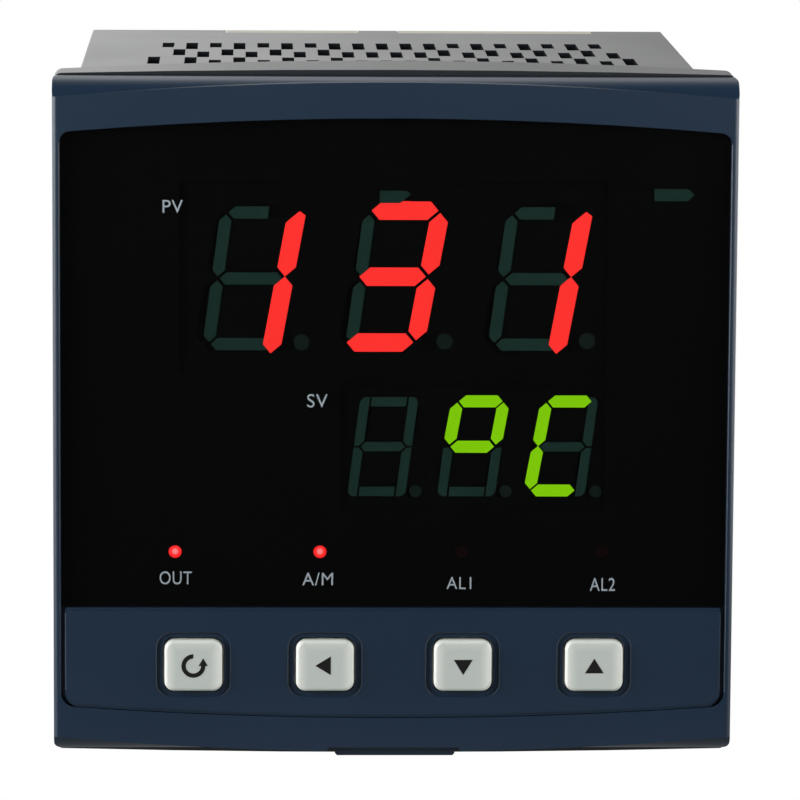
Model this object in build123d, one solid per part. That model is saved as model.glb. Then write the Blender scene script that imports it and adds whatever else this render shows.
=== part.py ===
from build123d import *
import math
import os

# A panel-mount temperature controller. Millimetres, +X right, +Y to the rear, +Z up.
# The origin is the centre of the plane where the flange seats on the panel; the front face looks along -Y.

# Front
bezel_width = 96.0
bezel_height = 96.0
front_depth = 12.0
bottom_trim = 0.23
top_corner_radius = 0.5
bottom_corner_radius = 1.3
side_edge_radius = 0.7
arch_rise = 2.15
face_crown = (47.55, 47.66)
roll_height = 3.4
roll_depth = 4.6
fascia_depth = 5.0
face_step = 0.1

# Flange of the sleeve
flange_gap = 0.3
flange_front_rise = 0.6
flange_rear_rise = 1.3
flange_edge_height = 48.25
flange_corner_radius = 1.2
flange_root = 0.5

# Sleeve
case_size = 90.8
case_length = 100.0
case_wall = 2.0
case_corner_radius = 0.4
rail_height = 2.2
rail_thickness = 1.2
rail_start = 12.0
rail_setback = 28.0
vent_pitch = 3.66
vent_width = 1.8
vent_reach = 9
vent_setback = 23.7
vent_rear_lengths = (11.1, 7.9)
vent_middle_setbacks = (11.4, 15.4)
vent_middle_lengths = (10.4, 9.5)
vent_front_setbacks = (25.2, 29.5)
vent_front_length = 11.0
vent_lone = (-9.5, 24.6, 11.7)
bracket_slot_length = 14.0
bracket_slot_width = 5.0
bracket_slot_depth = 1.2
bracket_slot_setback = 48.0
bracket_slot_spacing = 50.0

# Fits
slide_clearance = 0.3
insert_clearance = 0.1
key_clearance = 0.28
seat_clearance = 0.2
running_clearance = 0.05
cut_overrun = 0.01
edge_bevel = 0.15

# Window and key panel
insert_depth = 1.6
insert_half_width = 46.95
window_crown = 42.55
window_thickness = 1.2
window_corner_radius = 1.5
window_bottom_radius = 0.4
window_bottom = -26.8
film_thickness = 0.3
film_gap = 0.05
key_panel_groove = 0.57
key_panel_low_groove = 0.45
key_panel_groove_depth = 0.2
key_panel_crown = 42.35
key_panel_rise = 1.8
key_panel_top_gap = 0.5
key_panel_top_radius = 0.4
key_panel_bottom_radius = 2.0
shelf_thickness = 1.6
sight_half_width = 38.0
sight_top = 36.0
sight_bottom = -24.6
key_bay_half_width = 36.0
key_bay_reach = (5.5, 5.2)

# Spigot of the fascia
spigot_wall = 1.8
spigot_length = 13.0
spigot_corner_radius = 2.0
post_web = 1.2
post_root = 0.5

# Displays
display_edge_chamfer = 0.5
display_depth = 8.0
segment_thickness = 0.3
digit_slant = 10.4
segment_gap = 0.34
lit_spread = 0.22
pv_centre = (-0.25, 19.9)
pv_pitch = 20.15
pv_half_width = 5.05
pv_half_height = 9.5
pv_segment_width = 1.95
pv_cell_height = 27.6
sv_centre = (11.1, -4.15)
sv_pitch = 12.6
sv_half_width = 3.35
sv_half_height = 6.35
sv_segment_width = 1.4
sv_cell_height = 18.8
point_offset = 1.9
pv_point_radius = 1.1
sv_point_radius = 0.85
pv_digits = ("bc", "abcdg", "bc")
sv_digits = ("", "abfg", "adef")
lamp_radius = 0.87
lamp_body_radius = 1.5
lamp_height = -19.1
lamp_nose = 0.8
lamp_places = (-30.85, -10.4, 9.6, 29.55)
lamps_lit = 2
upper_bar = ((-2.2, 2.15), (30.7, 32.2))
side_bar_length = 5.6
side_bar_inset = 5.05
side_bar_heights = (30.9, 32.6)

# Keys
key_names = ("cycle", "shift", "down", "up")
key_places = (-28.25, -9.65, 9.85, 28.45)
key_rise = 12.88
key_width = 8.15
key_tall = 7.35
key_corner_radius = 1.4
key_proud = 0.8
key_edge_radius = 0.5
key_flange_rim = 0.8
key_flange_thickness = 0.9
key_travel = 0.4
plunger_length = 2.0
ring_width = 10.3
ring_tall = 9.15
ring_corner_radius = 2.1
ring_depth = 0.4
switch_size = 6.0
switch_height = 3.5
switch_chamfer = 0.6
plunger_radius = 1.7

# Latch
notch_width = 18.66
notch_offset = 0.1
notch_rise = 0.95
latch_width = 17.0
latch_offset = 0.35
latch_arm_width = 9.0
latch_rise = 1.1
latch_drop = 0.55
latch_front_wall = 0.8
latch_front_gap = 1.0
latch_pocket_rise = 2.4
latch_riser = (1.4, 2.6)
latch_swing_clearance = 0.7
latch_foot_gap = 0.4
latch_ear_thickness = 1.6
latch_pivot = (3.6, -41.9)
latch_boss_radius = 1.3
latch_pin_radius = 0.6
latch_arm_thickness = 1.2
latch_hook_drop = 0.8
latch_hook = (-3.6, -1.6)
latch_hook_flat = 0.8
latch_end_chamfer = 0.3
spring_radius = 1.3
spring_wire = 0.3
spring_turns = 3.5
spring_y = -5.2
spring_height = 3.1
spring_seat_half = 2.2
spring_seat_thickness = 1.0

# Boards
board_thickness = 1.6
display_board_half = (40.6, 39.4)
side_board_x = 37.5
side_board_half = 42.8
side_board_front_half = 39.0
side_board_neck_half = 33.0
side_board_neck = 3.0
side_board_setback = 4.5
post_radius = 2.4
post_place = (37.4, 36.6)
post_screw_radius = 1.0
post_screw_length = 4.5
post_screw_head = (1.9, 1.2)
header_length = 24.0
header_size = 6.0
bridge_setback = 9.5
bridge_size = (7.0, 10.0)
bridge_wall = 1.8
bridge_peg_radius = 1.4

# Parts on the power board
transformer_x = (8.0, 33.0)
transformer_y = (32.0, 64.0)
transformer_half = 19.0
transformer_leg = 6.4
transformer_yoke = 4.9
winding_overhang = 4.0
winding_corner_radius = 2.0
large_can = (8.0, 26.0)
large_can_place = (20.0, 24.0)
small_can = (5.0, 18.0)
small_can_places = ((18.0, 5.0), (18.0, -8.0))
can_groove = (2.2, 3.0, 0.5)
can_edge = 0.8
relay_size = (15.5, 19.0, 15.2)
relay_places = ((21.5, -24.0), (47.5, 28.0))
relay_edge = 0.6
fuse_place = (56.0, -32.0)
fuse_length = 21.0
fuse_glass_radius = 2.4
fuse_cap = (2.7, 5.0)

# Parts on the main board
chip_edge = 0.3
processor_size = (14.0, 14.0, 1.6)
processor_place = (34.0, 6.0)
small_chip_size = (10.0, 7.6, 2.2)
small_chip_places = ((34.0, -16.0), (56.0, 18.0), (56.0, -8.0))
isolator_size = (6.4, 9.0, 3.6)
isolator_places = ((66.0, -32.0), (66.0, -20.0), (66.0, 32.0))
supply_size = (14.0, 14.0, 9.0)
supply_place = (50.0, -30.0)
trimmer_size = (9.5, 4.8, 9.5)
trimmer_places = ((20.0, 22.0), (20.0, 30.0))

# Rear
rear_plate_thickness = 2.5
rear_recess = 12.0
rear_vent_count = 6
rear_vent_pitch = 5.0
rear_vent_size = (2.0, 46.0)
rear_skirt_wall = 1.6
tab_spans = ((-24.0, -3.2), (3.2, 34.0))
tab_length = 4.5
terminal_pitch = 7.62
terminal_count = 10
terminal_x = 32.5
terminal_width = 15.0
terminal_base = 4.0
terminal_height = 9.0
barrier_thickness = 1.3
terminal_wall = 1.3
terminal_screw_inset = 1.2
terminal_screw_radius = 1.5
terminal_head = (2.7, 1.6)
terminal_tip_gap = 0.3
clamp_size = (6.0, 5.6)
clamp_thickness = 0.7
contact_thickness = 0.8
contact_half_width = 0.5
contact_half_height = 1.6
contact_pad_half = 2.6
contact_pad_reach = 3.2
contact_entry = 2.5
socket_depth = 8.0
socket_width = 7.4
socket_end_wall = 1.5
socket_margin = 1.0
screw_slot_width = 0.7
head_bevel = 0.35

# Derived places
half_width = bezel_width / 2
face_y = -front_depth
front_bottom = -bezel_height / 2
fascia_back = face_y + fascia_depth
flange_front = fascia_back + flange_gap
insert_floor = face_y + insert_depth
shelf_back = insert_floor + shelf_thickness
rail_end = case_length - rail_setback
bracket_slot_y = case_length - bracket_slot_setback
rear_plate_y = case_length - rear_recess
side_board_end = rear_plate_y - side_board_setback
bridge_y = side_board_end - bridge_setback
case_half = case_size / 2
bore_half = case_half - case_wall
spigot_half = bore_half - slide_clearance
spigot_inner = spigot_half - spigot_wall
spigot_end = fascia_back + spigot_length
display_front = insert_floor + insert_clearance
display_board_y = display_front + display_depth
display_board_back = display_board_y + board_thickness
key_panel_top = window_bottom - key_panel_top_gap
key_height_z = front_bottom + key_rise
key_bay_top = key_height_z + key_bay_reach[0]
key_bay_bottom = key_height_z - key_bay_reach[1]
latch_top = front_bottom + latch_rise
latch_bottom = front_bottom - latch_drop
notch_top = front_bottom + notch_rise
film_front = insert_floor - film_thickness
window_front = film_front - film_gap - window_thickness
key_flange_y = insert_floor + seat_clearance
key_stem_end = display_board_y - switch_height + key_travel - plunger_length
latch_arm_space = latch_arm_width / 2 + slide_clearance
latch_ear_reach = latch_arm_space + latch_ear_thickness
spring_top = latch_pivot[1] + latch_arm_thickness / 2 + spring_height
side_board_inner = side_board_x - board_thickness / 2
terminal_floor = rear_plate_y + rear_plate_thickness
terminal_screw_x = terminal_x - terminal_screw_inset
contact_pitch_start = -(terminal_count - 1) / 2 * terminal_pitch
contact_heights = [contact_pitch_start + i * terminal_pitch for i in range(terminal_count)]


def cuboid(x, y, z):
    """Box from three (low, high) spans."""
    centre = Pos((x[0] + x[1]) / 2, (y[0] + y[1]) / 2, (z[0] + z[1]) / 2)
    return centre * Box(x[1] - x[0], y[1] - y[0], z[1] - z[0])


def slab(sketch, y0, y1, x=0.0, z=0.0):
    """Front-view sketch (across, up) extruded from depth y0 to y1."""
    plane = Plane(origin=(x, y0, z), x_dir=(1, 0, 0), z_dir=(0, -1, 0))
    return extrude(plane * sketch, amount=y1 - y0, dir=(0, 1, 0))


def bar(sketch, x0, x1):
    """Side-view sketch (depth, up) extruded from x0 to x1."""
    plane = Plane(origin=(x0, 0, 0), x_dir=(0, 1, 0), z_dir=(1, 0, 0))
    return extrude(plane * sketch, amount=x1 - x0, dir=(1, 0, 0))


def rod_y(radius, y0, y1, x, z):
    return Pos(x, (y0 + y1) / 2, z) * Rot(90, 0, 0) * Cylinder(radius, y1 - y0)


def rod_x(radius, x0, x1, y, z):
    return Pos((x0 + x1) / 2, y, z) * Rot(0, 90, 0) * Cylinder(radius, x1 - x0)


def barrel(half, top, top_rise, bottom, bottom_rise, y, top_radius=0.0, bottom_radius=0.0):
    """Face with straight sides and arched top and bottom; a rise of 0 gives a straight edge."""
    def sag(rise):
        return rise * (half / half_width) ** 2

    def edge(x0, x1, crown, rise, sign):
        end = crown - sign * sag(rise)
        if rise == 0:
            return Line((x0, y, end), (x1, y, end))
        return ThreePointArc((x0, y, end), (0, y, crown), (x1, y, end))

    upper = edge(-half, half, top, top_rise, 1)
    lower = edge(half, -half, bottom, bottom_rise, -1)
    right = Line(upper @ 1, lower @ 0)
    left = Line(lower @ 1, upper @ 0)
    face = Face(Wire([upper.edge(), right.edge(), lower.edge(), left.edge()]))
    mid = (top + bottom) / 2
    for radius, is_top in ((top_radius, True), (bottom_radius, False)):
        if radius > 0:
            corners = [v for v in face.vertices() if (v.Z > mid) == is_top and abs(abs(v.X) - half) < 1e-6]
            face = face.fillet_2d(radius, corners)
    return face


def along_y(face, depth):
    return extrude(face, amount=depth, dir=(0, 1, 0))


def fascia_form():
    """Outer form: a rolled block with an arched flat face standing a step in front of it."""
    front = face_y + face_step
    roll_end = front + roll_depth
    half = bezel_height / 2
    base = half - bottom_trim
    knee = half - roll_height
    base_knee = base - roll_height
    turn = math.radians(45)
    roll_y = front + roll_depth * (1 - math.cos(turn))
    rise = roll_height * math.sin(turn)
    top = ThreePointArc((front, knee), (roll_y, knee + rise), (roll_end, half))
    low = ThreePointArc((roll_end, -base), (roll_y, -base_knee - rise), (front, -base_knee))
    back = Polyline((roll_end, half), (fascia_back, half), (fascia_back, -base), (roll_end, -base))
    close = Line((front, -base_knee), (front, knee))
    profile = make_face([top, back, low, close])
    rolled = bar(profile, -half_width, half_width)
    raised = barrel(half_width, face_crown[0], arch_rise, -face_crown[1], arch_rise, face_y)
    raised = along_y(raised, fascia_depth)
    plan = Rectangle(bezel_width, fascia_depth)
    plan = fillet(plan.vertices().group_by(Axis.Y)[0], side_edge_radius)
    sides = Pos(0, face_y + fascia_depth / 2, -bezel_height) * extrude(plan, amount=2 * bezel_height)
    corners = barrel(half_width, half, 0, -base, 0, face_y, top_corner_radius, bottom_corner_radius)
    return (rolled + raised) & sides & along_y(corners, fascia_depth)


def insert_pocket():
    """Shared pocket of the window and the key panel, open at the front."""
    lower = key_panel_crown + key_panel_low_groove
    outline = barrel(insert_half_width, window_crown, arch_rise, -lower, key_panel_rise, face_y,
                     window_corner_radius, key_panel_bottom_radius)
    return along_y(outline, insert_depth)


def side_bevels(half, reach, low, high):
    """Prisms that break the upright front edges at half either side; a positive reach runs outward."""
    prisms = []
    for side in (-1, 1):
        edge = side * half
        corners = ((edge, face_y), (edge + side * reach, face_y), (edge, face_y + edge_bevel))
        plan = Plane.XY.offset(low) * make_face(Polyline(*corners, close=True))
        prisms.append(extrude(plan, amount=high - low, dir=(0, 0, 1)))
    return prisms


def pocket_bevels():
    sag = (insert_half_width / half_width) ** 2
    lower = key_panel_crown + key_panel_low_groove - key_panel_rise * sag
    high = window_crown - arch_rise * sag - window_corner_radius
    return side_bevels(insert_half_width, edge_bevel, key_panel_bottom_radius - lower, high)


def latch_spaces():
    """Notch, pocket and slots that the latch needs in the fascia."""
    across = (notch_offset - notch_width / 2, notch_offset + notch_width / 2)
    front_lip = face_y + latch_front_wall
    notch = cuboid(across, (face_y, front_lip), (-bezel_height, notch_top))
    pocket = cuboid(across, (front_lip, fascia_back), (-bezel_height, latch_top + latch_pocket_rise))
    arm = (-latch_arm_space, latch_arm_space)
    riser_front = insert_floor + latch_riser[0] - latch_swing_clearance
    riser = cuboid(arm, (riser_front, fascia_back), (latch_top, key_bay_bottom))
    slot_end = latch_pivot[0] + latch_boss_radius + slide_clearance
    floor = cuboid(arm, (fascia_back, slot_end), (-spigot_half, -spigot_inner))
    return notch + pocket + riser + floor


def post_corners():
    return [(x, z) for x in (-post_place[0], post_place[0]) for z in (-post_place[1], post_place[1])]


def fascia():
    body = fascia_form() - insert_pocket() - pocket_bevels()
    sight = cuboid((-sight_half_width, sight_half_width), (insert_floor, fascia_back),
                   (sight_bottom, sight_top))
    keys = cuboid((-key_bay_half_width, key_bay_half_width), (insert_floor, fascia_back),
                  (key_bay_bottom, key_bay_top))
    cavity = cuboid((-spigot_inner, spigot_inner), (shelf_back, fascia_back), (-spigot_inner, spigot_inner))
    body -= sight + keys + cavity
    outer = slab(RectangleRounded(2 * spigot_half, 2 * spigot_half, spigot_corner_radius),
                 fascia_back, spigot_end)
    inner = cuboid((-spigot_inner, spigot_inner), (fascia_back, spigot_end), (-spigot_inner, spigot_inner))
    body += outer - inner
    post_start = shelf_back - post_root
    thread_depth = post_screw_length + 2 * seat_clearance - board_thickness
    for x, z in post_corners():
        edge = math.copysign(spigot_inner, x)
        body += rod_y(post_radius, post_start, display_board_y, x, z)
        body += cuboid(sorted((x, edge)), (post_start, display_board_y), (z - post_web / 2, z + post_web / 2))
        body -= rod_y(post_screw_radius, display_board_y - thread_depth, display_board_y, x, z)
    body -= latch_spaces()
    y, z = latch_pivot
    for side in (-1, 1):
        ear_x = sorted((side * latch_arm_space, side * latch_ear_reach))
        ear_y = (y - latch_boss_radius, y + latch_boss_radius)
        body += cuboid(ear_x, ear_y, (-spigot_half, z + latch_boss_radius))
    return body - rod_x(latch_pin_radius, -latch_ear_reach, latch_ear_reach, y, z)


def window_outline(y):
    """Arched top and straight bottom, as the window and the film behind it have."""
    return barrel(insert_half_width - insert_clearance, window_crown - insert_clearance, arch_rise,
                  window_bottom, 0, y, window_corner_radius, window_bottom_radius)


def window():
    return along_y(window_outline(window_front), window_thickness)


def key_panel():
    """Base plate that fills the pocket and a raised field with a ring round each key."""
    half = insert_half_width - key_panel_groove
    base_crown = key_panel_crown + key_panel_low_groove - insert_clearance
    base = barrel(half, window_bottom - insert_clearance, 0, -base_crown, key_panel_rise,
                  face_y + key_panel_groove_depth, key_panel_top_radius, key_panel_bottom_radius)
    field = barrel(half, key_panel_top, 0, -key_panel_crown, key_panel_rise, face_y,
                   key_panel_top_radius, key_panel_bottom_radius)
    panel = along_y(base, insert_depth - key_panel_groove_depth) + along_y(field, insert_depth)
    bevel_low = key_panel_bottom_radius - key_panel_crown + key_panel_rise * (half / half_width) ** 2
    panel -= side_bevels(half, -edge_bevel, bevel_low, key_panel_top - key_panel_top_radius)
    for x in key_places:
        ring = RectangleRounded(ring_width, ring_tall, ring_corner_radius)
        recess = slab(ring, face_y - edge_bevel, face_y + ring_depth, x, key_height_z)
        rim = RectangleRounded(ring_width + 2 * edge_bevel, ring_tall + 2 * edge_bevel,
                               ring_corner_radius + edge_bevel)
        rim = slab(rim, face_y, face_y + edge_bevel, x, key_height_z)
        panel -= recess + chamfer(rim.faces().sort_by(Axis.Y)[-1].edges(), edge_bevel - cut_overrun)
        hole = RectangleRounded(key_width + 2 * key_clearance, key_tall + 2 * key_clearance,
                                key_corner_radius + key_clearance)
        panel -= slab(hole, face_y, insert_floor, x, key_height_z)
    seat = cuboid((-spring_seat_half, spring_seat_half), (insert_floor, spring_y + spring_seat_half),
                  (spring_top, spring_top + spring_seat_thickness))
    return panel + seat


def key(x):
    """Key cap with a rounded rim, its keeper flange and its stem."""
    front = face_y - key_proud
    cap = RectangleRounded(key_width, key_tall, key_corner_radius)
    cap = slab(cap, front, key_flange_y, x, key_height_z)
    cap = fillet(cap.faces().sort_by(Axis.Y)[0].edges(), key_edge_radius)
    flange_end = key_flange_y + key_flange_thickness
    rim = 2 * key_flange_rim
    keeper = RectangleRounded(key_width + rim, key_tall + rim, key_corner_radius)
    cap += slab(keeper, key_flange_y, flange_end, x, key_height_z)
    cap += rod_y(plunger_radius, flange_end, key_stem_end, x, key_height_z)
    return cap


def plunger(x):
    return rod_y(plunger_radius, key_stem_end, key_stem_end + plunger_length, x, key_height_z)


def switches():
    """Four tact switch bodies with a well for each plunger."""
    group = []
    for x in key_places:
        front = display_board_y - switch_height
        body = cuboid((x - switch_size / 2, x + switch_size / 2), (front, display_board_y),
                      (key_height_z - switch_size / 2, key_height_z + switch_size / 2))
        well_end = front + 2 * key_travel + seat_clearance
        well = rod_y(plunger_radius + running_clearance * 2, front, well_end, x, key_height_z)
        group.append(chamfer(body.edges().filter_by(Axis.Y), switch_chamfer) - well)
    return group


def segment_places(half, tall, width, spread):
    """Corner points of the seven segments of one upright digit, by letter."""
    w = width / 2 + spread
    cut = width / 2
    reach = half - segment_gap

    def level(z):
        return [(-reach - spread, z), (-reach + cut, z + w), (reach - cut, z + w), (reach + spread, z),
                (reach - cut, z - w), (-reach + cut, z - w)]

    def upright(x, z0, z1):
        low, high = z0 + segment_gap - spread, z1 - segment_gap + spread
        return [(x, low), (x - w, low + cut + spread), (x - w, high - cut - spread), (x, high),
                (x + w, high - cut - spread), (x + w, low + cut + spread)]

    return {"a": level(tall), "g": level(0), "d": level(-tall),
            "f": upright(-half, 0, tall), "b": upright(half, 0, tall),
            "e": upright(-half, -tall, 0), "c": upright(half, -tall, 0)}


def digits(centre, pitch, half, tall, width, point, shown, lit):
    """Lit or unlit segments of one three-digit display, each a thin slanted solid."""
    lean = math.tan(math.radians(digit_slant))
    solids = []
    for place, letters in enumerate(shown):
        x0 = centre[0] + (place - 1) * pitch
        shapes = segment_places(half, tall, width, lit_spread if lit else 0.0)
        for letter, points in shapes.items():
            if (letter in letters) != lit:
                continue
            ring = [(x0 + x + lean * z, centre[1] + z) for x, z in points]
            solids.append(slab(Polygon(*ring, align=None), display_front, display_front + segment_thickness))
        if not lit:
            x = x0 + half + point_offset - lean * tall
            solids.append(rod_y(point, display_front, display_front + segment_thickness, x, centre[1] - tall))
    return solids


def display_body(centre, pitch, cell_height, segments):
    """Black display block with a shallow pocket under every segment."""
    half = 1.5 * pitch
    block = cuboid((centre[0] - half, centre[0] + half), (display_front, display_board_y),
                   (centre[1] - cell_height / 2, centre[1] + cell_height / 2))
    block = chamfer(block.edges().filter_by(Axis.Y), display_edge_chamfer)
    return block - segments


def lamps(lit):
    group = []
    shoulder = insert_floor + lamp_nose
    for place, x in enumerate(lamp_places):
        if (place < lamps_lit) == lit:
            nose = rod_y(lamp_radius, display_front, shoulder, x, lamp_height)
            body = rod_y(lamp_body_radius, shoulder, display_board_y, x, lamp_height)
            group.append(nose + body)
    return group


def process_bar():
    """Unlit bar above the middle digit of the process display."""
    across, up = upper_bar
    return cuboid(across, (display_front, display_front + segment_thickness), up)


def indicator_bar(grow=0.0):
    """Unlit bar let into the film beside the process display, pointed at its right end."""
    right = insert_half_width - side_bar_inset
    left = right - side_bar_length
    low, high = side_bar_heights
    point = (high - low) / 2
    neck = right - point + grow
    outline = Polygon((left - grow, low - grow), (neck, low - grow), (right + grow, low + point),
                      (neck, high + grow), (left - grow, high + grow), align=None)
    return slab(outline, film_front, insert_floor)


def display_mask():
    """Black film behind the window, cut out for the displays, the lamps and the indicator bar."""
    depth = (film_front, insert_floor)
    gap = seat_clearance
    cuts = [indicator_bar(running_clearance)]
    for centre, pitch, tall in ((pv_centre, pv_pitch, pv_cell_height), (sv_centre, sv_pitch, sv_cell_height)):
        half = 1.5 * pitch - gap
        cuts.append(cuboid((centre[0] - half, centre[0] + half), depth,
                           (centre[1] - tall / 2 + gap, centre[1] + tall / 2 - gap)))
    cuts += [rod_y(lamp_radius + running_clearance, *depth, x, lamp_height) for x in lamp_places]
    return along_y(window_outline(film_front), film_thickness) - cuts


def display_board():
    board = cuboid((-display_board_half[0], display_board_half[0]), (display_board_y, display_board_back),
                   (-display_board_half[1], display_board_half[1]))
    for x, z in post_corners():
        board -= rod_y(post_screw_radius + seat_clearance, display_board_y, display_board_back, x, z)
    return board


def slotted_screw(head_radius, head_height, shank_radius, length):
    """Screw standing on its tip at z=0 with a slotted, bevelled head on top."""
    bevel = head_height * head_bevel
    top = length + head_height
    profile = Polyline((0, 0), (shank_radius, 0), (shank_radius, length), (head_radius, length),
                       (head_radius, top - bevel), (head_radius - bevel, top), (0, top), close=True)
    screw = revolve(Plane.XZ * make_face(profile), Axis.Z)
    slot = Pos(0, 0, top) * Box(2 * head_radius, screw_slot_width, head_height)
    return screw - slot


def board_screws():
    group = []
    screw = slotted_screw(*post_screw_head, post_screw_radius - running_clearance, post_screw_length)
    for x, z in post_corners():
        group.append(Pos(x, display_board_back - post_screw_length, z) * Rot(-90, 0, 0) * screw)
    return group


def latch():
    """Rocking release lever: thumb tab, riser, arm with a hook, boss on the pin."""
    y, z = latch_pivot
    half_arm = latch_arm_thickness / 2
    front = face_y + latch_front_wall + latch_front_gap
    riser = (insert_floor + latch_riser[0], insert_floor + latch_riser[1])
    tab = cuboid((latch_offset - latch_width / 2, latch_offset + latch_width / 2),
                 (front, fascia_back - latch_foot_gap), (latch_bottom, latch_top))
    tab = chamfer(tab.edges().filter_by(Axis.Y).group_by(Axis.Z)[0], latch_end_chamfer)
    half = latch_arm_width / 2
    post = cuboid((-half, half), riser, (latch_top, z + half_arm))
    arm = cuboid((-half, half), (riser[0], y), (z - half_arm, z + half_arm))
    tip = -bore_half - latch_hook_drop
    nose = Polyline((latch_hook[0], z), (latch_hook[0], tip), (latch_hook[0] + latch_hook_flat, tip),
                    (latch_hook[1], -bore_half + slide_clearance), (latch_hook[1], z), close=True)
    hook = bar(make_face(nose), -half / 2, half / 2)
    boss = rod_x(latch_boss_radius, -half, half, y, z)
    lever = tab + post + arm + hook + boss
    return lever - rod_x(latch_pin_radius + running_clearance, -half, half, y, z)


def latch_pin():
    return rod_x(latch_pin_radius, -latch_ear_reach, latch_ear_reach, *latch_pivot)


def latch_spring():
    low = latch_pivot[1] + latch_arm_thickness / 2 + spring_wire / 2
    height = spring_top - spring_wire / 2 - low
    path = Helix(pitch=height / spring_turns, height=height, radius=spring_radius, center=(0, 0, 0))
    section = Plane(origin=path @ 0, x_dir=(1, 0, 0), z_dir=path % 0) * Rectangle(spring_wire, spring_wire)
    return Pos(0, spring_y, low) * sweep(section, path=path, is_frenet=True)


def vent_slots(z0, z1):
    """Three staggered rows of rectangular slots, and a lone slot left of the front row."""
    def slot(column, setback, length):
        x = column * vent_pitch
        rear = case_length - vent_setback - setback
        return cuboid((x - vent_width / 2, x + vent_width / 2), (rear - length, rear), (z0, z1))

    slots = [slot(*vent_lone)]
    for column in range(-vent_reach, vent_reach + 1):
        short = column % 2 == 1 and abs(column) != 1
        slots.append(slot(column, 0.0, vent_rear_lengths[short]))
        middle = column + 0.5
        forward = abs(middle) < 2 or int(abs(middle)) % 2 == 1
        slots.append(slot(middle, vent_middle_setbacks[forward], vent_middle_lengths[forward]))
        front = column + 1
        forward = front % 2 == 1 or front == 0
        slots.append(slot(front, vent_front_setbacks[forward], vent_front_length))
    return slots


def flange():
    """Flange lofted from a nearly straight front outline to an arched rear one."""
    outlines = []
    for y, rise in ((flange_front, flange_front_rise), (0.0, flange_rear_rise)):
        crown = flange_edge_height + rise
        outlines.append(barrel(half_width, crown, rise, -crown, rise, y, flange_corner_radius,
                               flange_corner_radius))
    return loft(outlines, ruled=True)


def sleeve():
    tube = slab(RectangleRounded(case_size, case_size, case_corner_radius), -flange_root, case_length)
    body = flange() + tube
    body -= cuboid((-bore_half, bore_half), (flange_front, case_length), (-bore_half, bore_half))
    for z_side in (-1, 1):
        for x_side in (-1, 1):
            for offset in (-1, 1):
                gap = board_thickness / 2 + seat_clearance
                near = side_board_x * x_side + offset * gap
                far = near + offset * rail_thickness
                body += cuboid(sorted((near, far)), (rail_start, rail_end),
                               sorted((z_side * bore_half, z_side * (bore_half - rail_height))))
        body -= vent_slots(*sorted((z_side * (bore_half - cut_overrun), z_side * (case_half + cut_overrun))))
        for span in tab_spans:
            wide = (span[0] - insert_clearance, span[1] + insert_clearance)
            body -= cuboid(wide, (case_length - tab_length - insert_clearance, case_length),
                           sorted((z_side * bore_half, z_side * case_half)))
        for z in (-bracket_slot_spacing / 2, bracket_slot_spacing / 2):
            slot = Pos(z_side * (case_half - bracket_slot_depth / 2), bracket_slot_y, z)
            body -= slot * Box(bracket_slot_depth, bracket_slot_length, bracket_slot_width)
    catch = latch_arm_width / 4 + slide_clearance
    body -= cuboid((-catch, catch), (latch_hook[0] - slide_clearance, latch_hook[1] + slide_clearance),
                   (-bore_half - latch_hook_drop - slide_clearance, -bore_half))
    return body


def contact_blades(side, y0, y1, grow=0.0):
    """One upright blade for each contact of a side, or the slot for it where it is grown."""
    x = side * side_board_x
    wide = contact_half_width + grow
    tall = contact_half_height + grow
    return [cuboid((x - wide, x + wide), (y0, y1), (z - tall, z + tall)) for z in contact_heights]


def rear_plate():
    """Rear tray: plate, skirt and the lands that lock in the sleeve's rear notches."""
    half = bore_half - seat_clearance
    tray = cuboid((-half, half), (rear_plate_y, case_length), (-half, half))
    room = half - rear_skirt_wall
    tray -= cuboid((-room, room), (terminal_floor, case_length), (-room, room))
    for z_side in (-1, 1):
        land = sorted((z_side * half, z_side * case_half))
        for span in tab_spans:
            tray += cuboid(span, (case_length - tab_length, case_length), land)
    wide, tall = rear_vent_size
    for place in range(rear_vent_count):
        x = (place - (rear_vent_count - 1) / 2) * rear_vent_pitch
        tray -= cuboid((x - wide / 2, x + wide / 2), (rear_plate_y, terminal_floor), (-tall / 2, tall / 2))
    for side in (-1, 1):
        tray -= contact_blades(side, rear_plate_y, terminal_floor, seat_clearance / 2)
    return tray


def terminal_block(side):
    """Barrier terminal column standing on the rear plate."""
    top = terminal_floor + terminal_height
    bay_floor = terminal_floor + terminal_base
    x = (side * terminal_x - terminal_width / 2, side * terminal_x + terminal_width / 2)
    tall = terminal_count * terminal_pitch / 2 + barrier_thickness / 2
    block = cuboid(x, (terminal_floor, top), (-tall, tall))
    open_x = (x[0], x[1] - terminal_wall) if side > 0 else (x[0] + terminal_wall, x[1])
    clear = (terminal_pitch - barrier_thickness) / 2
    bays = []
    for z in contact_heights:
        bays.append(cuboid(open_x, (bay_floor, top), (z - clear, z + clear)))
        bays.append(rod_y(terminal_screw_radius, terminal_floor, bay_floor, side * terminal_screw_x, z))
    block -= bays
    return block - contact_blades(side, terminal_floor, bay_floor, seat_clearance / 2)


def terminal_contacts():
    """Flat contacts: a pad under each clamp and a tongue forward to the card socket."""
    base = terminal_floor + terminal_base
    group = []
    for side in (-1, 1):
        far = side * (side_board_x + contact_half_width)
        near = side * (terminal_screw_x - contact_pad_reach)
        for z, tongue in zip(contact_heights, contact_blades(side, rear_plate_y - contact_entry, base)):
            pad = cuboid(sorted((near, far)), (base, base + contact_thickness),
                         (z - contact_pad_half, z + contact_pad_half))
            hole = rod_y(terminal_screw_radius, base, base + contact_thickness, side * terminal_screw_x, z)
            group.append(tongue + pad - hole)
    return group


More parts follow.
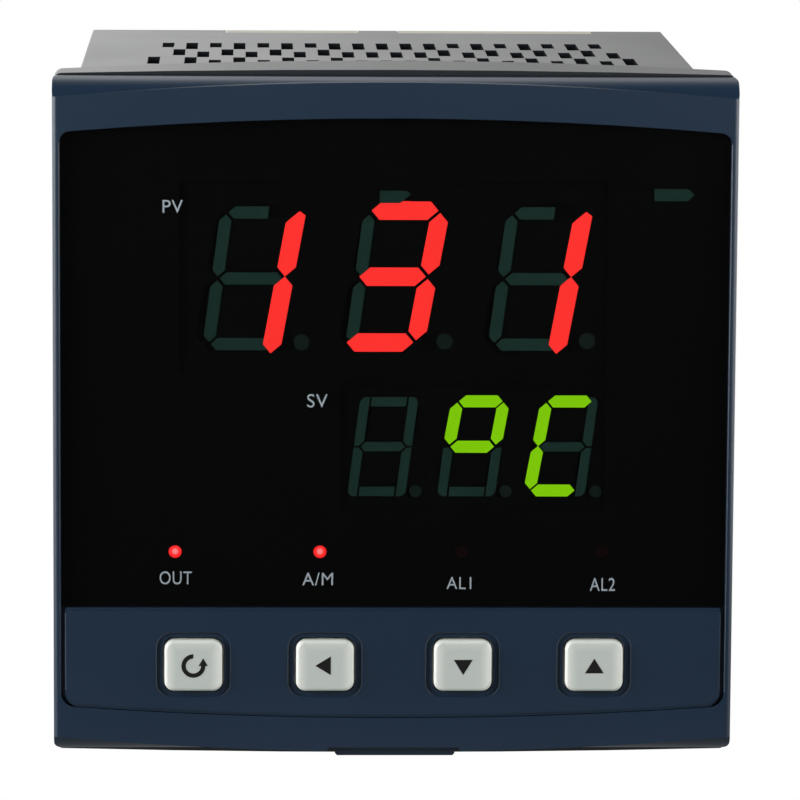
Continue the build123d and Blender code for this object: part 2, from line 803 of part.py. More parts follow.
def wire_clamps():
    """Square clamp plates under the terminal screws."""
    base = terminal_floor + terminal_base + contact_thickness
    plate = Rectangle(*clamp_size) - Circle(terminal_screw_radius + running_clearance)
    return [slab(plate, base, base + clamp_thickness, side * terminal_screw_x, z)
            for side in (-1, 1) for z in contact_heights]


def terminal_screws():
    tip = terminal_floor + terminal_tip_gap
    length = terminal_floor + terminal_base + contact_thickness + clamp_thickness - tip
    screw = slotted_screw(*terminal_head, terminal_screw_radius - running_clearance, length)
    return [Pos(side * terminal_screw_x, tip, z) * Rot(-90, 0, 0) * screw
            for side in (-1, 1) for z in contact_heights]


def core_socket(side):
    """Card-edge socket on the front of the rear plate."""
    x = side * side_board_x
    tall = terminal_count * terminal_pitch / 2 + socket_margin
    front = rear_plate_y - socket_depth
    body = cuboid((x - socket_width / 2, x + socket_width / 2), (front, rear_plate_y), (-tall, tall))
    card = board_thickness / 2 + running_clearance * 2
    room = tall - socket_end_wall
    body -= cuboid((x - card, x + card), (front, side_board_end + seat_clearance), (-room, room))
    return body - contact_blades(side, rear_plate_y - contact_entry, rear_plate_y, seat_clearance / 2)


def side_board(side):
    """Card with a narrow front that clears the spigot and a tongue that enters the socket."""
    tongue = terminal_count * terminal_pitch / 2 + socket_margin - socket_end_wall - slide_clearance
    step = spigot_end + slide_clearance
    tip = rear_plate_y - socket_depth - slide_clearance
    x = sorted((side * side_board_inner, side * (side_board_inner + board_thickness)))
    neck = display_board_back + side_board_neck
    board = cuboid(x, (display_board_back, neck), (-side_board_neck_half, side_board_neck_half))
    board += cuboid(x, (neck, step), (-side_board_front_half, side_board_front_half))
    board += cuboid(x, (step, tip), (-side_board_half, side_board_half))
    board += cuboid(x, (tip, side_board_end), (-tongue, tongue))
    return board - rod_x(bridge_peg_radius + insert_clearance, x[0], x[1], bridge_y, 0)


def board_bridge():
    """Channel that spaces the two cards, with a peg into each."""
    inner = side_board_inner
    deep, tall = bridge_size[0] / 2, bridge_size[1] / 2
    beam = cuboid((-inner, inner), (bridge_y - deep, bridge_y + deep), (-tall, tall))
    room = inner - bridge_wall
    beam -= cuboid((-room, room), (bridge_y - deep, bridge_y + deep - bridge_wall),
                   (-tall + bridge_wall, tall - bridge_wall))
    for side in (-1, 1):
        ends = sorted((side * inner, side * (inner + board_thickness)))
        beam += rod_x(bridge_peg_radius, *ends, bridge_y, 0)
    return beam


def front_header():
    """Wedge of angled pins' housing in the corner between the display board and the left card."""
    corner = (-side_board_inner, display_board_back)
    wedge = Polyline(corner, (corner[0] + header_size, corner[1]), (corner[0], corner[1] + header_size),
                     close=True)
    face = Plane.XY.offset(-header_length / 2) * make_face(wedge)
    return extrude(face, amount=header_length, dir=(0, 0, 1))


def front_headers():
    header = front_header()
    return [header, mirror(header, Plane.YZ)]


def transformer_core():
    """Laminated core with a window on each side of the middle leg."""
    block = cuboid(transformer_x, transformer_y, (-transformer_half, transformer_half))
    middle = sum(transformer_y) / 2
    tall = transformer_half - transformer_leg
    for side in (-1, 1):
        outer = middle + side * ((transformer_y[1] - transformer_y[0]) / 2 - transformer_yoke)
        block -= cuboid(transformer_x, sorted((middle + side * transformer_leg, outer)), (-tall, tall))
    return block


def transformer_winding():
    """Bobbin with its winding, round the middle leg and standing out at both ends."""
    middle = sum(transformer_y) / 2
    gap = seat_clearance
    reach = (transformer_y[1] - transformer_y[0]) / 2 - transformer_yoke - gap
    tall = transformer_half - transformer_leg - gap
    coil = cuboid((transformer_x[0] - winding_overhang, side_board_inner), (middle - reach, middle + reach),
                  (-tall, tall))
    coil = fillet(coil.edges().filter_by(Axis.Z), winding_corner_radius)
    leg = transformer_leg + gap
    sleeve_x = (transformer_x[0] - gap, transformer_x[1] + gap)
    return coil - cuboid(sleeve_x, (middle - leg, middle + leg), (-tall, tall))


def can(size, place):
    """Electrolytic capacitor lying along X with its base on the power board."""
    radius, length = size
    y, z = place
    near, far, depth = can_groove
    body = rod_x(radius, side_board_inner - length, side_board_inner, y, z)
    body = chamfer(body.edges().group_by(Axis.X)[0], can_edge)
    band = (side_board_inner - far, side_board_inner - near, y, z)
    return body - (rod_x(radius, *band) - rod_x(radius - depth, *band))


def capacitors():
    return [can(large_can, large_can_place)] + [can(small_can, place) for place in small_can_places]


def relays():
    """Two sealed relays on the power board."""
    height, deep, tall = relay_size
    group = []
    for y, z in relay_places:
        body = cuboid((side_board_inner - height, side_board_inner), (y - deep / 2, y + deep / 2),
                      (z - tall / 2, z + tall / 2))
        group.append(chamfer(body.edges().group_by(Axis.X)[0], relay_edge))
    return group


def fuse():
    """Glass fuse with end caps, on the power board."""
    y, z = fuse_place
    cap_radius, cap_length = fuse_cap
    x = side_board_inner - cap_radius
    half = fuse_length / 2
    tube = rod_y(fuse_glass_radius, y - half, y + half, x, z)
    for start in (y - half, y + half - cap_length):
        tube += rod_y(cap_radius, start, start + cap_length, x, z)
    return tube


def chip(size, place):
    """Block on the inner face of the main board; its size runs along the depth, up and off the board."""
    length, tall, height = size
    y, z = place
    body = cuboid((-side_board_inner, height - side_board_inner), (y - length / 2, y + length / 2),
                  (z - tall / 2, z + tall / 2))
    return chamfer(body.edges().group_by(Axis.X)[-1], chip_edge)


def write(name, shape):
    solids = shape if isinstance(shape, list) else [shape]
    flat = [solid for item in solids for solid in item.solids()]
    body = Compound(children=flat) if len(flat) > 1 else flat[0]
    export_step(body, f"parts/{name}.step")


def build():
    os.makedirs("parts", exist_ok=True)
    pv = (pv_centre, pv_pitch, pv_half_width, pv_half_height, pv_segment_width, pv_point_radius, pv_digits)
    sv = (sv_centre, sv_pitch, sv_half_width, sv_half_height, sv_segment_width, sv_point_radius, sv_digits)
    pv_lit, pv_dark = digits(*pv, lit=True), digits(*pv, lit=False) + [process_bar()]
    sv_lit, sv_dark = digits(*sv, lit=True), digits(*sv, lit=False)
    write("case_sleeve", sleeve())
    write("rear_plate", rear_plate())
    for side, name in ((-1, "left"), (1, "right")):
        write(f"terminal_block_{name}", terminal_block(side))
        write(f"core_socket_{name}", core_socket(side))
    write("terminal_contacts", terminal_contacts())
    write("wire_clamps", wire_clamps())
    write("terminal_screws", terminal_screws())
    write("fascia", fascia())
    write("display_window", window())
    write("key_panel", key_panel())
    write("display_mask", display_mask())
    write("indicator_bar", indicator_bar())
    write("process_display", display_body(pv_centre, pv_pitch, pv_cell_height, pv_lit + pv_dark))
    write("process_segments_lit", pv_lit)
    write("process_segments_dark", pv_dark)
    write("setting_display", display_body(sv_centre, sv_pitch, sv_cell_height, sv_lit + sv_dark))
    write("setting_segments_lit", sv_lit)
    write("setting_segments_dark", sv_dark)
    write("status_lamps_lit", lamps(True))
    write("status_lamps_dark", lamps(False))
    write("display_board", display_board())
    write("board_screws", board_screws())
    write("tact_switches", switches())
    for name, x in zip(key_names, key_places):
        write(f"key_{name}", key(x))
        write(f"plunger_{name}", plunger(x))
    write("latch", latch())
    write("latch_pin", latch_pin())
    write("latch_spring", latch_spring())
    write("main_board", side_board(-1))
    write("power_board", side_board(1))
    write("board_bridge", board_bridge())
    write("front_headers", front_headers())
    write("transformer_core", transformer_core())
    write("transformer_winding", transformer_winding())
    write("capacitors", capacitors())
    write("relays", relays())
    write("fuse", fuse())
    write("processor", chip(processor_size, processor_place))
    write("small_chips", [chip(small_chip_size, place) for place in small_chip_places])
    write("isolators", [chip(isolator_size, place) for place in isolator_places])
    write("supply_module", chip(supply_size, supply_place))
    write("trimmers", [chip(trimmer_size, place) for place in trimmer_places])


build()
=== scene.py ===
import logging
import math
from collections.abc import Iterable, Sequence
from dataclasses import dataclass
from enum import Enum

import bpy
from mathutils import Matrix, Vector


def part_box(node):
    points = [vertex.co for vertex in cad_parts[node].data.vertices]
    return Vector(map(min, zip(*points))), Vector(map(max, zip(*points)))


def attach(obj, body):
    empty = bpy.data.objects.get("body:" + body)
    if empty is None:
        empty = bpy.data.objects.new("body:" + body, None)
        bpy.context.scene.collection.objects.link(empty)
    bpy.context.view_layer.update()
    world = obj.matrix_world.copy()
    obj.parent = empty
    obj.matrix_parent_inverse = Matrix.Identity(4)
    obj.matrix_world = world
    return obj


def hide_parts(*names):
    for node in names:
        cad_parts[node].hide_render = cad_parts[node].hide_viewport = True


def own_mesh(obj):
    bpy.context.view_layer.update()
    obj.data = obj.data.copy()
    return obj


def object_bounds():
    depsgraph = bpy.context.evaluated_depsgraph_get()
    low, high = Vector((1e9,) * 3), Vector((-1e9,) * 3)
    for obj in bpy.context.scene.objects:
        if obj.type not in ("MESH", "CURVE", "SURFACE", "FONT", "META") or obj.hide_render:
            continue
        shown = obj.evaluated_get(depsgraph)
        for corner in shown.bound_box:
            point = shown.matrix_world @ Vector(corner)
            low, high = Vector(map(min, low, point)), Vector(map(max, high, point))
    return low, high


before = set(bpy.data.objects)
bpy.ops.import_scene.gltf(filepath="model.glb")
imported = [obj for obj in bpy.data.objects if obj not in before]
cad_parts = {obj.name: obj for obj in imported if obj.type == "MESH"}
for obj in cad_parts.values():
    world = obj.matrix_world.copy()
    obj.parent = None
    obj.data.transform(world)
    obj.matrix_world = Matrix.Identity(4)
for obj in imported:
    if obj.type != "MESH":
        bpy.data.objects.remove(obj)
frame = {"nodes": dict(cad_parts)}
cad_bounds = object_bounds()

log = logging.getLogger("temperature_controller")

Tree = bpy.types.NodeTree
Socket = bpy.types.NodeSocket
Point = tuple[float, float]

MM = 0.001
PHOTO_PIXELS = 800
SENSOR_MM = 36.0
BLACK = (0.0, 0.0, 0.0, 1.0)
WHITE = (1.0, 1.0, 1.0, 1.0)
# Width of one band of Blender's wave texture at scale 1.
WAVE_WIDTH = math.pi / 10
# Depth of the window's bare face, and thickness of the ink on it.
FACE_Y = -12.0
PRINT_THICKNESS = 0.03
# Vertices nearer than this are one.
WELD = 0.001


def linear(hex_colour: str) -> tuple[float, float, float, float]:
    """Turns an sRGB colour into linear light.

    Args:
        hex_colour: colour as "#RRGGBB".

    Returns:
        Red, green, blue and alpha, linear, from 0 to 1.
    """
    channels = [int(hex_colour[i:i + 2], 16) / 255 for i in (1, 3, 5)]
    light = [c / 12.92 if c <= 0.04045 else ((c + 0.055) / 1.055) ** 2.4 for c in channels]
    return (*light, 1.0)


def pattern_scale(size_mm: float) -> float:
    """Scale of a texture whose features are size_mm wide, on Object coordinates in metres."""
    return 1.0 / (size_mm * MM)


def add_node(tree: Tree, kind: str, values: dict | None = None, links: dict | None = None,
             **settings: object) -> bpy.types.Node:
    """Adds a shader node.

    Args:
        tree: node tree.
        kind: node type, such as "ShaderNodeBump".
        values: socket name or number to its value.
        links: socket name or number to the output that feeds it.
        **settings: properties of the node itself.

    Returns:
        The new node.
    """
    made = tree.nodes.new(kind)
    for name, value in settings.items():
        setattr(made, name, value)
    for socket, value in (values or {}).items():
        made.inputs[socket].default_value = value
    for socket, source in (links or {}).items():
        tree.links.new(source, made.inputs[socket])
    return made


def maths(tree: Tree, operation: str, *terms: Socket | float) -> Socket:
    """Adds a sum of numbers and outputs.

    Args:
        tree: node tree.
        operation: what is done, such as "ADD".
        *terms: its numbers, and the outputs that feed it.

    Returns:
        The result.
    """
    links = {i: term for i, term in enumerate(terms) if isinstance(term, Socket)}
    values = {i: term for i, term in enumerate(terms) if i not in links}
    return add_node(tree, "ShaderNodeMath", values, links, operation=operation).outputs[0]


def noise(tree: Tree, place: Socket, size_mm: float, detail: float) -> Socket:
    """Strength from 0 to 1 of a pattern with clouds size_mm wide and detail finer layers."""
    return add_node(tree, "ShaderNodeTexNoise", {"Scale": pattern_scale(size_mm), "Detail": detail},
                    {"Vector": place}).outputs["Fac"]


def relief(tree: Tree, height: Socket, depth_mm: float, strength: float) -> Socket:
    """Normal of a bump that follows height, depth_mm deep, of which the share strength shows."""
    return add_node(tree, "ShaderNodeBump", {"Strength": strength, "Distance": depth_mm * MM},
                    {"Height": height}).outputs[0]


def mix_colours(tree: Tree, share: Socket, start: Sequence[float], end: Sequence[float]) -> Socket:
    """Mix of two linear colours, from start where share is 0 to end where it is 1."""
    return add_node(tree, "ShaderNodeMix", {6: start, 7: end}, {0: share}, data_type="RGBA").outputs[2]


def principled(tree: Tree, values: dict, links: dict) -> Socket:
    """Adds the main shader, with values and links as add_node takes them, and gives its output."""
    return add_node(tree, "ShaderNodeBsdfPrincipled", values, links).outputs[0]


def nearest(tree: Tree, distances: Iterable[Socket]) -> Socket:
    """Least of several distances.

    Args:
        tree: node tree.
        distances: one or more outputs.

    Returns:
        The least.
    """
    least, *others = distances
    for distance in others:
        least = maths(tree, "MINIMUM", least, distance)
    return least


class Easing(Enum):
    """How a ramp gets from its start to its end."""

    LINEAR = "LINEAR"
    SMOOTH = "SMOOTHSTEP"


@dataclass(frozen=True)
class Ramp:
    """Change of a value: where it starts and ends, and what it gives there."""

    start: float
    end: float
    low: float
    high: float
    easing: Easing = Easing.SMOOTH

    def follow(self, tree: Tree, source: Socket) -> Socket:
        """Adds the ramp and gives what it makes of the source."""
        values = {"From Min": self.start, "From Max": self.end, "To Min": self.low, "To Max": self.high}
        return add_node(tree, "ShaderNodeMapRange", values, {"Value": source},
                        interpolation_type=self.easing.value).outputs[0]


def spread(tree: Tree, source: Socket, low: float, high: float) -> Socket:
    """Value that goes evenly from low to high while source goes from 0 to 1."""
    return Ramp(0.0, 1.0, low, high, Easing.LINEAR).follow(tree, source)


def empty_material(name: str) -> bpy.types.Material:
    """Makes a node material with nothing in its tree.

    Args:
        name: its name.

    Returns:
        The material.
    """
    material = bpy.data.materials.new(name)
    material.use_nodes = True
    material.node_tree.nodes.clear()
    return material


@dataclass(frozen=True)
class Finish:
    """A surface, named for what it is made of and how."""

    name: str
    colour: str

    def build(self) -> bpy.types.Material:
        """Makes the material: this finish's skin, laid out on Object coordinates.

        Returns:
            The material.
        """
        material = empty_material(self.name)
        tree = material.node_tree
        place = add_node(tree, "ShaderNodeTexCoord").outputs["Object"]
        add_node(tree, "ShaderNodeOutputMaterial", links={"Surface": self.skin(tree, place)})
        return material

    def skin(self, tree: Tree, place: Socket) -> Socket:
        """Adds the shader. Every finish has its own.

        Args:
            tree: node tree.
            place: coordinates.

        Returns:
            The shader.
        """
        raise NotImplementedError


@dataclass(frozen=True)
class MouldedPlastic(Finish):
    """Injection-moulded plastic: the spark-eroded mould leaves a fine grain, and the flow a faint cloud."""

    roughness: float = 0.42
    roughness_swing: float = 0.05
    grain_mm: float = 0.45
    grain_depth_mm: float = 0.004
    cloud_mm: float = 28.0
    cloud: float = 0.10
    gloss: float = 0.5

    def skin(self, tree: Tree, place: Socket) -> Socket:
        """Adds the plastic's shader.

        Args:
            tree: node tree.
            place: coordinates.

        Returns:
            The shader.
        """
        grain = noise(tree, place, self.grain_mm, detail=2.0)
        cloud = noise(tree, place, self.cloud_mm, detail=3.0)
        dark, light = ((*(c * tint for c in linear(self.colour)[:3]), 1.0)
                       for tint in (1 - self.cloud, 1 + self.cloud))
        rough = spread(tree, cloud, self.roughness - self.roughness_swing,
                       self.roughness + self.roughness_swing)
        return principled(tree, {"Specular IOR Level": self.gloss},
                          {"Base Color": mix_colours(tree, cloud, dark, light), "Roughness": rough,
                           "Normal": relief(tree, grain, self.grain_depth_mm, strength=0.6)})


@dataclass(frozen=True)
class SiliconeKey(Finish):
    """Moulded silicone key with a painted highlight: the rim is painted paler than the middle towards the
    sides and the top, where the side lamps light its rounded edges.
    """

    rim_highlight_colour: str
    centres: tuple[float, ...]
    height: float
    half_size: Point
    # Where the painted rim highlight starts, as a share of the half size, and how strong it is at the top.
    rim_highlight_start: float = 0.45
    top_highlight_share: float = 0.45
    roughness: float = 0.42
    grain_mm: float = 0.3
    grain_depth_mm: float = 0.004

    def rim(self, tree: Tree, distance: Socket, half: float, most: float) -> Socket:
        """Share of the painted highlight at a distance from the key's middle: most at the edge, half
        millimetres away.
        """
        return Ramp(half * self.rim_highlight_start * MM, half * MM, 0.0, most).follow(tree, distance)

    def skin(self, tree: Tree, place: Socket) -> Socket:
        """Adds the rubber's shader, with a painted highlight that makes it paler towards the sides and the
        top.

        Args:
            tree: node tree.
            place: coordinates.

        Returns:
            The shader.
        """
        axes = add_node(tree, "ShaderNodeSeparateXYZ", links={0: place}).outputs
        across = nearest(tree, [maths(tree, "ABSOLUTE", maths(tree, "SUBTRACT", axes["X"], x * MM))
                                for x in self.centres])
        upward = maths(tree, "SUBTRACT", axes["Z"], self.height * MM)
        # Painted highlight: the paler rim colour is mixed in towards the sides and the top.
        rim = maths(tree, "MAXIMUM", self.rim(tree, across, self.half_size[0], 1.0),
                    self.rim(tree, upward, self.half_size[1], self.top_highlight_share))
        tone = mix_colours(tree, rim, linear(self.colour), linear(self.rim_highlight_colour))
        grain = noise(tree, place, self.grain_mm, detail=2.0)
        return principled(tree, {"Roughness": self.roughness}, {
            "Base Color": tone, "Normal": relief(tree, grain, self.grain_depth_mm, strength=0.5)})


@dataclass(frozen=True)
class SmokedAcrylic(Finish):
    """Cast acrylic sheet, smoked and polished: a ray is tinted at each of the two faces that it crosses."""

    opacity: float = 0.3
    roughness: float = 0.06
    haze: float = 1.6
    gloss: float = 0.35
    ripple_mm: float = 22.0
    ripple_depth_mm: float = 0.01

    def skin(self, tree: Tree, place: Socket) -> Socket:
        """Adds the tinted window's shader.

        Args:
            tree: node tree.
            place: coordinates.

        Returns:
            The shader.
        """
        ripple = noise(tree, place, self.ripple_mm, detail=1.0)
        return principled(tree, {"Base Color": linear(self.colour), "Alpha": self.opacity,
                                 "Specular IOR Level": self.gloss},
                          {"Roughness": spread(tree, ripple, self.roughness, self.roughness * self.haze),
                           "Normal": relief(tree, ripple, self.ripple_depth_mm, strength=0.25)})


@dataclass(frozen=True)
class LitDiffuser(Finish):
    """Diffusing resin with a lit chip behind it: a glow that is even but for faint clouds in the resin."""

    strength: float = 2.0
    swing: float = 0.03
    cloud_mm: float = 3.0

    def skin(self, tree: Tree, place: Socket) -> Socket:
        """Adds the glowing resin's shader.

        Args:
            tree: node tree.
            place: coordinates.

        Returns:
            The shader.
        """
        cloud = noise(tree, place, self.cloud_mm, detail=0.0)
        level = spread(tree, cloud, self.strength * (1 - self.swing), self.strength * (1 + self.swing))
        return principled(tree, {"Base Color": BLACK, "Roughness": 0.6, "Specular IOR Level": 0.1,
                                 "Emission Color": linear(self.colour)},
                          {"Emission Strength": level})


@dataclass(frozen=True)
class LampGlow(Finish):
    """Clear red lamp seen end on: the chip behind the middle burns it paler than the rim."""

    centres: tuple[Point, ...]
    core_radius: float
    core_colour: str
    strength: float

    def skin(self, tree: Tree, place: Socket) -> Socket:
        """Adds the lamp's shader with its paler middle.

        Args:
            tree: node tree.
            place: coordinates.

        Returns:
            The shader.
        """
        flat = add_node(tree, "ShaderNodeVectorMath", {1: (1.0, 0.0, 1.0)}, {0: place},
                        operation="MULTIPLY").outputs[0]
        away = [add_node(tree, "ShaderNodeVectorMath", {1: (x * MM, 0.0, z * MM)}, {0: flat},
                         operation="DISTANCE").outputs["Value"] for x, z in self.centres]
        share = Ramp(0.0, self.core_radius * MM, 0.0, 1.0, Easing.LINEAR).follow(tree, nearest(tree, away))
        tone = mix_colours(tree, share, linear(self.core_colour), linear(self.colour))
        return principled(tree, {"Base Color": BLACK, "Roughness": 0.3, "Emission Strength": self.strength},
                          {"Emission Color": tone})


@dataclass(frozen=True)
class PlatedMetal(Finish):
    """Zinc or tin plated metal: bright, with fine drawn lines that run along Y."""

    roughness: float = 0.32
    roughness_swing: float = 0.08
    line_mm: float = 0.12
    line_depth_mm: float = 0.003
    stretch: tuple[float, float, float] = (1.0, 0.08, 1.0)

    def skin(self, tree: Tree, place: Socket) -> Socket:
        """Adds the plated metal's shader.

        Args:
            tree: node tree.
            place: coordinates.

        Returns:
            The shader.
        """
        drawn = add_node(tree, "ShaderNodeMapping", {"Scale": self.stretch}, {"Vector": place}).outputs[0]
        lines = noise(tree, drawn, self.line_mm, detail=2.0)
        rough = spread(tree, lines, self.roughness - self.roughness_swing,
                       self.roughness + self.roughness_swing)
        return principled(tree, {"Base Color": linear(self.colour), "Metallic": 1.0},
                          {"Roughness": rough,
                           "Normal": relief(tree, lines, self.line_depth_mm, strength=0.3)})


@dataclass(frozen=True)
class SolderResist(Finish):
    """Glass-epoxy board under green resist: copper tracks show as paler, slightly raised green."""

    track_colour: str = "#2F8B4A"
    cell_mm: float = 2.6
    tracks_per_cell: float = 4.0
    track_edge: Point = (0.55, 0.62)
    copper_mm: float = 0.035
    roughness: float = 0.28

    def skin(self, tree: Tree, place: Socket) -> Socket:
        """Adds the board's shader with its tracks.

        Args:
            tree: node tree.
            place: coordinates.

        Returns:
            The shader.
        """
        cells = add_node(tree, "ShaderNodeTexVoronoi",
                         {"Scale": pattern_scale(self.cell_mm), "Randomness": 0.7}, {"Vector": place},
                         distance="MANHATTAN", feature="F1").outputs["Distance"]
        fold = maths(tree, "FRACT", maths(tree, "MULTIPLY", cells, self.tracks_per_cell))
        track = Ramp(*self.track_edge, 0.0, 1.0, Easing.LINEAR).follow(tree, fold)
        tone = mix_colours(tree, track, linear(self.colour), linear(self.track_colour))
        return principled(tree, {"Roughness": self.roughness},
                          {"Base Color": tone, "Normal": relief(tree, track, self.copper_mm, strength=0.5)})


@dataclass(frozen=True)
class StackedSheet(Finish):
    """Transformer sheet steel stacked along X and varnished: fine dark joints between bundles of sheets."""

    joint_colour: str = "#3C3B3A"
    bundle_mm: float = 1.5708
    joint_depth_mm: float = 0.05

    def skin(self, tree: Tree, place: Socket) -> Socket:
        """Adds the sheet stack's shader.

        Args:
            tree: node tree.
            place: coordinates.

        Returns:
            The shader.
        """
        sheets = add_node(tree, "ShaderNodeTexWave",
                          {"Scale": pattern_scale(self.bundle_mm) * WAVE_WIDTH, "Distortion": 0.6,
                           "Detail": 1.0, "Detail Scale": 0.3}, {"Vector": place},
                          wave_type="BANDS", bands_direction="X", wave_profile="SAW").outputs["Fac"]
        tone = mix_colours(tree, sheets, linear(self.joint_colour), linear(self.colour))
        return principled(tree, {"Metallic": 0.7, "Roughness": 0.5},
                          {"Base Color": tone,
                           "Normal": relief(tree, sheets, self.joint_depth_mm, strength=0.5)})


@dataclass(frozen=True)
class WoundTape(Finish):
    """Polyester tape wound over a coil: glossy, with a step at each overlap and faint wrinkles."""

    overlap_mm: float = 18.85
    step_mm: float = 0.08
    wrinkle_mm: float = 4.0
    wrinkle_share: float = 0.4
    roughness: float = 0.22

    def skin(self, tree: Tree, place: Socket) -> Socket:
        """Adds the tape's shader.

        Args:
            tree: node tree.
            place: coordinates.

        Returns:
            The shader.
        """
        wraps = add_node(tree, "ShaderNodeTexWave",
                         {"Scale": pattern_scale(self.overlap_mm) * WAVE_WIDTH, "Distortion": 1.5,
                          "Detail": 1.0}, {"Vector": place},
                         wave_type="BANDS", bands_direction="Z", wave_profile="SAW").outputs["Fac"]
        wrinkle = noise(tree, place, self.wrinkle_mm, detail=3.0)
        height = maths(tree, "MULTIPLY_ADD", wrinkle, self.wrinkle_share, wraps)
        return principled(tree, {"Base Color": linear(self.colour), "Roughness": self.roughness},
                          {"Normal": relief(tree, height, self.step_mm, strength=0.6)})


@dataclass(frozen=True)
class CappedGlass(Finish):
    """Drawn glass tube, clear with a faint green body, and plated caps over its ends."""

    cap_colour: str
    glass_span: Point
    glass_opacity: float = 0.35
    roughness: float = 0.12

    def skin(self, tree: Tree, place: Socket) -> Socket:
        """Adds glass between the caps and plated metal over them.

        Args:
            tree: node tree.
            place: coordinates.

        Returns:
            The shader.
        """
        depth = add_node(tree, "ShaderNodeSeparateXYZ", links={0: place}).outputs["Y"]
        start, end = self.glass_span
        away = maths(tree, "ABSOLUTE", maths(tree, "SUBTRACT", depth, (start + end) / 2 * MM))
        is_cap = maths(tree, "GREATER_THAN", away, (end - start) / 2 * MM)
        tone = mix_colours(tree, is_cap, linear(self.colour), linear(self.cap_colour))
        return principled(tree, {"Roughness": self.roughness},
                          {"Base Color": tone, "Alpha": spread(tree, is_cap, self.glass_opacity, 1.0),
                           "Metallic": is_cap})


def dress(nodes: Iterable[str], finish: Finish) -> bpy.types.Material:
    """Gives CAD nodes a finish.

    Args:
        nodes: names of the nodes.
        finish: the finish to build.

    Returns:
        The material, to use again on new pieces.
    """
    material = finish.build()
    for name in nodes:
        mesh = frame["nodes"][name].data
        mesh.materials.clear()
        mesh.materials.append(material)
    log.info("dressed %s as %s", ", ".join(nodes), finish.name)
    return material


def take_mesh(name: str, body: str, material: bpy.types.Material) -> bpy.types.Object:
    """Finishes the active object as a piece: its place goes into its mesh and it rides on its body.

    Args:
        name: name of the piece.
        body: CAD body that it moves with.
        material: its material.

    Returns:
        The piece.
    """
    piece = bpy.context.view_layer.objects.active
    settle(piece)
    piece.name = name
    piece.data.name = name
    piece.data.materials.clear()
    piece.data.materials.append(material)
    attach(piece, body)
    log.info("made %s on %s", name, body)
    return piece


def settle(piece: bpy.types.Object) -> None:
    """Moves an object's place and turn into its mesh, so that it ends at the origin."""
    piece.data.transform(piece.matrix_world)
    piece.matrix_world = Matrix.Identity(4)


def clear_selection() -> None:
    """Deselects everything."""
    bpy.ops.object.select_all(action="DESELECT")


def edit_all() -> None:
    """Goes into edit mode with the whole active mesh selected."""
    bpy.ops.object.mode_set(mode="EDIT")
    bpy.ops.mesh.select_all(action="SELECT")


def leave_edit() -> None:
    """Turns all faces outwards and leaves edit mode."""
    bpy.ops.mesh.select_all(action="SELECT")
    bpy.ops.mesh.normals_make_consistent(inside=False)
    bpy.ops.object.mode_set(mode="OBJECT")


def flat_outline(points: Sequence[Point], y: float) -> bpy.types.Object:
    """Adds a flat face in front view.

    Args:
        points: corners across and up, in millimetres, in order round the face.
        y: depth at which it lies in millimetres.

    Returns:
        The face.
    """
    bpy.ops.mesh.primitive_circle_add(vertices=len(points), radius=1.0, fill_type="NGON")
    piece = bpy.context.view_layer.objects.active
    for v, (x, z) in zip(piece.data.vertices, points):
        v.co = Vector((x, y, z)) * MM
    return piece


def thicken(depth: float) -> None:
    """Extrudes the flat active object towards the front.

    Args:
        depth: thickness in millimetres.
    """
    edit_all()
    bpy.ops.mesh.remove_doubles(threshold=WELD * MM)
    bpy.ops.mesh.extrude_region_move(TRANSFORM_OT_translate={"value": (0, -depth * MM, 0)})
    leave_edit()


@dataclass(frozen=True)
class PrintedWord:
    """A function mark printed on the window, fitted to the place and size that it has there."""

    name: str
    letters: str
    left: float
    right: float
    bottom: float
    top: float
    inset: float = 0.08
    y: float = FACE_Y + 0.05
    spacing: float = 1.08
    curve_steps: int = 6

    def build(self, material: bpy.types.Material) -> bpy.types.Object:
        """Sets the word and fits it.

        Args:
            material: the ink.

        Returns:
            The printed piece.
        """
        clear_selection()
        bpy.ops.object.text_add()
        text = bpy.context.view_layer.objects.active
        half_depth = 0.5
        text.data.body = self.letters
        text.data.extrude = half_depth
        text.data.resolution_u = self.curve_steps
        text.data.space_character = self.spacing
        bpy.ops.object.convert(target="MESH")
        word = bpy.context.view_layer.objects.active
        xs = [v.co.x for v in word.data.vertices]
        ys = [v.co.y for v in word.data.vertices]
        wide = (self.right - self.left - 2 * self.inset) * MM / (max(xs) - min(xs))
        tall = (self.top - self.bottom - 2 * self.inset) * MM / (max(ys) - min(ys))
        for v in word.data.vertices:
            x = (self.left + self.inset) * MM + (v.co.x - min(xs)) * wide
            z = (self.bottom + self.inset) * MM + (v.co.y - min(ys)) * tall
            y = (self.y - PRINT_THICKNESS * (half_depth + v.co.z)) * MM
            v.co = (x, y, z)
        return take_mesh(self.name, "core", material)


class FrontPanel:
    """Fascia, window, key panel and latch as moulded, with what is printed on the window."""

    navy = "#112335"
    words: Sequence[PrintedWord] = (
        PrintedWord("mark_pv", "PV", -32.66, -29.66, 29.12, 31.09),
        PrintedWord("mark_sv", "SV", -12.38, -9.34, 1.66, 3.72),
        PrintedWord("mark_out", "OUT", -33.10, -28.38, -23.62, -21.59),
        PrintedWord("mark_am", "A/M", -12.97, -8.47, -23.75, -21.76),
        PrintedWord("mark_al1", "AL1", 7.42, 11.08, -24.26, -22.37),
        PrintedWord("mark_al2", "AL2", 27.69, 31.41, -24.50, -22.47),
    )

    def build(self) -> None:
        """Dresses the front and prints the marks."""
        dress(["fascia", "latch"], MouldedPlastic("satin_moulded_abs", self.navy, roughness=0.36))
        dress(["key_panel"], MouldedPlastic("satin_film_panel", self.navy, roughness=0.40, grain_mm=0.3))
        dress(["display_window"], SmokedAcrylic("smoked_acrylic", "#020202"))
        ink = MouldedPlastic("screen_print_grey", "#868F96", roughness=0.6, gloss=0.2).build()
        for word in self.words:
            word.build(ink)


